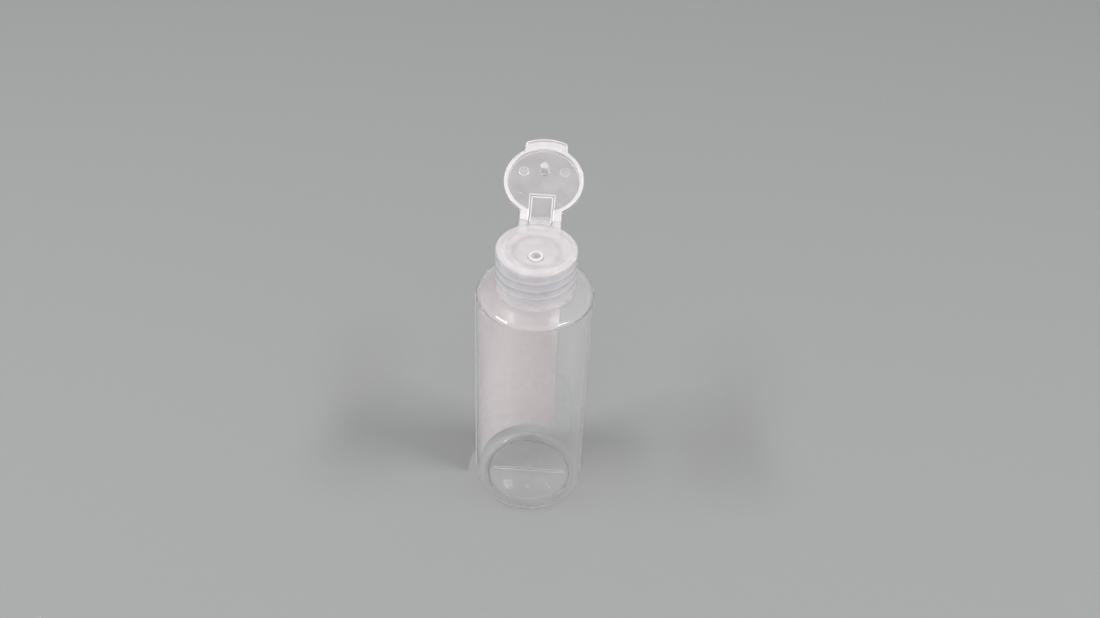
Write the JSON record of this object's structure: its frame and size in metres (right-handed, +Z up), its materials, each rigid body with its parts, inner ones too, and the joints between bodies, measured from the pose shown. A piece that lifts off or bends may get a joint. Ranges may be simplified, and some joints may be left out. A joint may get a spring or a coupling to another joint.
{
  "type": "flip-top bottle",
  "caption": "Small clear round bottle with a milky screw-on flip-top closure, its hinged lid standing open over a nozzle, and a plain label round the back.",
  "frame": {"origin": "centre of the bottle's foot ring, on the bottle's axis, on the surface it stands on", "axes": "+Z up along the bottle's axis towards the closure, +Y towards the lid's hinge, +X along the hinge line"},
  "size_m": [0.0352, 0.0605, 0.1056],
  "materials": {
    "clear_resin": "clear, glossy, blown",
    "label_film": "plain off-white film, satin",
    "ring_resin": "soft, natural, translucent, matt",
    "cap_resin": "natural milky, satin, translucent",
    "lid_resin": "natural milky, satin, translucent",
    "tongue_resin": "natural milky, thin, translucent"
  },
  "bodies": {
    "bottle": {"bottle": "clear_resin", "back_label": "label_film"},
    "seal": {"sealing_ring": "ring_resin"},
    "cap": {"cap_base": "cap_resin"},
    "lid": {"lid": "lid_resin"},
    "tongue": {"hinge_tongue": "tongue_resin"}
  },
  "joints": [
    {"name": "cap_rise", "type": "slide", "parent": "bottle", "child": "seal", "axis": [0, 0, 1], "range_m": [0, 0.00685]},
    {"name": "cap_turn", "type": "hinge", "parent": "seal", "child": "cap", "pos_m": [0, 0, 0.09], "axis": [0, 0, 1], "range_deg": [0, 900]},
    {"name": "lid_hinge", "type": "hinge", "parent": "cap", "child": "lid", "pos_m": [0, 0.01466, 0.09548], "axis": [1, 0, 0], "range_deg": [-15, 156.5]},
    {"name": "tongue_flex", "type": "hinge", "parent": "cap", "child": "tongue", "pos_m": [0, 0.01466, 0.09498], "axis": [1, 0, 0], "range_deg": [-14.6, 151.4]}
  ],
  "couplings": [
    {"joint": "cap_rise", "follows": "cap_turn", "m_per_rad": 0.00043449},
    {"joint": "tongue_flex", "follows": "lid_hinge", "ratio": 0.9658}
  ]
}
